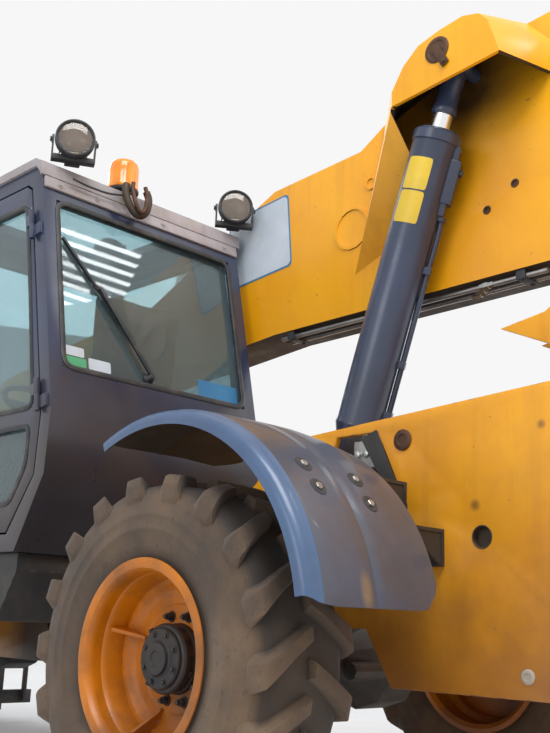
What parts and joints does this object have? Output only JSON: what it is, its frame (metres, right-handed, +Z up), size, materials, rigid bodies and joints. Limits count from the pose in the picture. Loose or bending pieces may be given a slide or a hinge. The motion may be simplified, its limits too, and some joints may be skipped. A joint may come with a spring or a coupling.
{
  "type": "telehandler",
  "caption": "Compact telescopic handler with a side-mounted boom, cab on the left, steered wheels and pallet forks on a tilting carriage.",
  "frame": {"origin": "centre of the bounding box's bottom face, on the ground", "axes": "+X forward, +Y to the machine's left, +Z up; the ground is z = 0"},
  "size_m": [5.5402, 2, 2.7613],
  "materials": {
    "yellow_paint": "gloss, dusty",
    "black_paint": "satin",
    "dark_paint": "satin",
    "tyre": "matte, dusty",
    "dark_plastic": "matte",
    "tinted_glass": "clear, tinted",
    "seat_fabric": "woven",
    "amber_plastic": "gloss",
    "cast_block": "rough",
    "bare_steel": "satin",
    "chrome_rod": "polished"
  },
  "bodies": {
    "chassis": {"beacon": "amber_plastic", "boom_tower": "yellow_paint", "cab_glass": "tinted_glass", "cab_roof": "dark_paint", "cab_shell": "dark_paint", "chassis_cross_members": "yellow_paint", "chassis_plate_left": "yellow_paint", "chassis_plate_right": "yellow_paint", "dash_and_steering_wheel": "dark_plastic", "engine_block": "cast_block", "engine_pod": "yellow_paint", "fender_arms": "black_paint", "fender_front_left": "dark_plastic", "fender_front_right": "dark_plastic", "fender_rear_left": "dark_plastic", "fender_rear_right": "dark_plastic", "frame_pins": "bare_steel", "front_axle": "black_paint", "lift_foot_mount": "yellow_paint", "mirrors": "dark_plastic", "rear_axle": "black_paint", "rear_counterweight": "yellow_paint", "seat_base": "dark_plastic", "seat_cushion": "seat_fabric", "side_console": "dark_plastic", "step_box": "dark_paint", "work_lamps": "dark_plastic"},
    "steer_front_left": {"knuckle_front_left": "black_paint"},
    "steer_front_right": {"knuckle_front_right": "black_paint"},
    "steer_rear_left": {"knuckle_rear_left": "black_paint"},
    "steer_rear_right": {"knuckle_rear_right": "black_paint"},
    "wheel_front_left": {"tyre_front_left": "tyre", "rim_front_left": "yellow_paint", "hub_front_left": "black_paint"},
    "wheel_front_right": {"tyre_front_right": "tyre", "rim_front_right": "yellow_paint", "hub_front_right": "black_paint"},
    "wheel_rear_left": {"tyre_rear_left": "tyre", "rim_rear_left": "yellow_paint", "hub_rear_left": "black_paint"},
    "wheel_rear_right": {"tyre_rear_right": "tyre", "rim_rear_right": "yellow_paint", "hub_rear_right": "black_paint"},
    "door": {"door_frame": "dark_paint", "door_glass": "tinted_glass"},
    "engine_lid": {"engine_hood": "yellow_paint"},
    "boom": {"outer_boom": "yellow_paint", "lift_hood": "yellow_paint", "boom_pipes": "bare_steel"},
    "boom_extension": {"inner_boom": "yellow_paint", "boom_neck": "yellow_paint"},
    "fork_carriage": {"carriage": "black_paint", "forks": "black_paint"},
    "lift_cylinder": {"lift_barrel": "dark_paint"},
    "lift_cylinder_rod": {"lift_rod": "chrome_rod"},
    "tilt_cylinder": {"tilt_barrel": "dark_paint"},
    "tilt_cylinder_rod": {"tilt_rod": "chrome_rod"}
  },
  "joints": [
    {"name": "front_left_steering", "type": "hinge", "parent": "chassis", "child": "steer_front_left", "pos_m": [0.805, 0.7, 0.52], "axis": [0, 0, 1], "range_deg": [-30, 30]},
    {"name": "front_left_wheel", "type": "hinge", "parent": "steer_front_left", "child": "wheel_front_left", "pos_m": [0.805, 0.83, 0.52], "axis": [0, 1, 0], "continuous": true},
    {"name": "front_right_steering", "type": "hinge", "parent": "chassis", "child": "steer_front_right", "pos_m": [0.805, -0.7, 0.52], "axis": [0, 0, 1], "range_deg": [-30, 30]},
    {"name": "front_right_wheel", "type": "hinge", "parent": "steer_front_right", "child": "wheel_front_right", "pos_m": [0.805, -0.83, 0.52], "axis": [0, 1, 0], "continuous": true},
    {"name": "rear_left_steering", "type": "hinge", "parent": "chassis", "child": "steer_rear_left", "pos_m": [-1.495, 0.7, 0.52], "axis": [0, 0, 1], "range_deg": [-30, 30]},
    {"name": "rear_left_wheel", "type": "hinge", "parent": "steer_rear_left", "child": "wheel_rear_left", "pos_m": [-1.495, 0.83, 0.52], "axis": [0, 1, 0], "continuous": true},
    {"name": "rear_right_steering", "type": "hinge", "parent": "chassis", "child": "steer_rear_right", "pos_m": [-1.495, -0.7, 0.52], "axis": [0, 0, 1], "range_deg": [-30, 30]},
    {"name": "rear_right_wheel", "type": "hinge", "parent": "steer_rear_right", "child": "wheel_rear_right", "pos_m": [-1.495, -0.83, 0.52], "axis": [0, 1, 0], "continuous": true},
    {"name": "boom_lift", "type": "hinge", "parent": "chassis", "child": "boom", "pos_m": [-2.515, -0.185, 2.1], "axis": [0, -1, 0], "range_deg": [0, 64]},
    {"name": "boom_telescope", "type": "slide", "parent": "boom", "child": "boom_extension", "axis": [0.9945, 0, -0.1045], "range_m": [0, 2.3]},
    {"name": "carriage_tilt", "type": "hinge", "parent": "boom_extension", "child": "fork_carriage", "pos_m": [1.5546, -0.185, 0.4003], "axis": [0, 1, 0], "range_deg": [-15, 90]},
    {"name": "lift_cylinder_foot", "type": "hinge", "parent": "chassis", "child": "lift_cylinder", "pos_m": [-1.422, 0.05, 1.14], "axis": [0, -1, 0], "range_deg": [0, 18.44]},
    {"name": "lift_cylinder_stroke", "type": "slide", "parent": "lift_cylinder", "child": "lift_cylinder_rod", "axis": [-0.3238, 0, 0.9461], "range_m": [0, 0.5932]},
    {"name": "tilt_cylinder_foot", "type": "hinge", "parent": "boom_extension", "child": "tilt_cylinder", "pos_m": [1.3375, -0.185, 1.4437], "axis": [0, -1, 0], "range_deg": [-1.06, 5.86]},
    {"name": "tilt_cylinder_stroke", "type": "slide", "parent": "tilt_cylinder", "child": "tilt_cylinder_rod", "axis": [0.3225, 0, -0.9466], "range_m": [-0.0544, 0.3214]},
    {"name": "cab_door", "type": "hinge", "parent": "chassis", "child": "door", "pos_m": [-0.845, 0.985, 1.3], "axis": [0.2153, 0, 0.9766], "range_deg": [0, 80]},
    {"name": "engine_lid_hinge", "type": "hinge", "parent": "chassis", "child": "engine_lid", "pos_m": [-0.365, -0.393, 1.24], "axis": [-1, 0, 0], "range_deg": [0, 70]}
  ],
  "couplings": [
    {"joint": "front_right_steering", "follows": "front_left_steering", "ratio": 1},
    {"joint": "rear_right_steering", "follows": "rear_left_steering", "ratio": 1},
    {"joint": "lift_cylinder_foot", "follows": "boom_lift", "ratio": 0.285},
    {"joint": "lift_cylinder_stroke", "follows": "boom_lift", "m_per_rad": 0.5293},
    {"joint": "tilt_cylinder_foot", "follows": "carriage_tilt", "ratio": 0.064},
    {"joint": "tilt_cylinder_stroke", "follows": "carriage_tilt", "m_per_rad": 0.204}
  ]
}
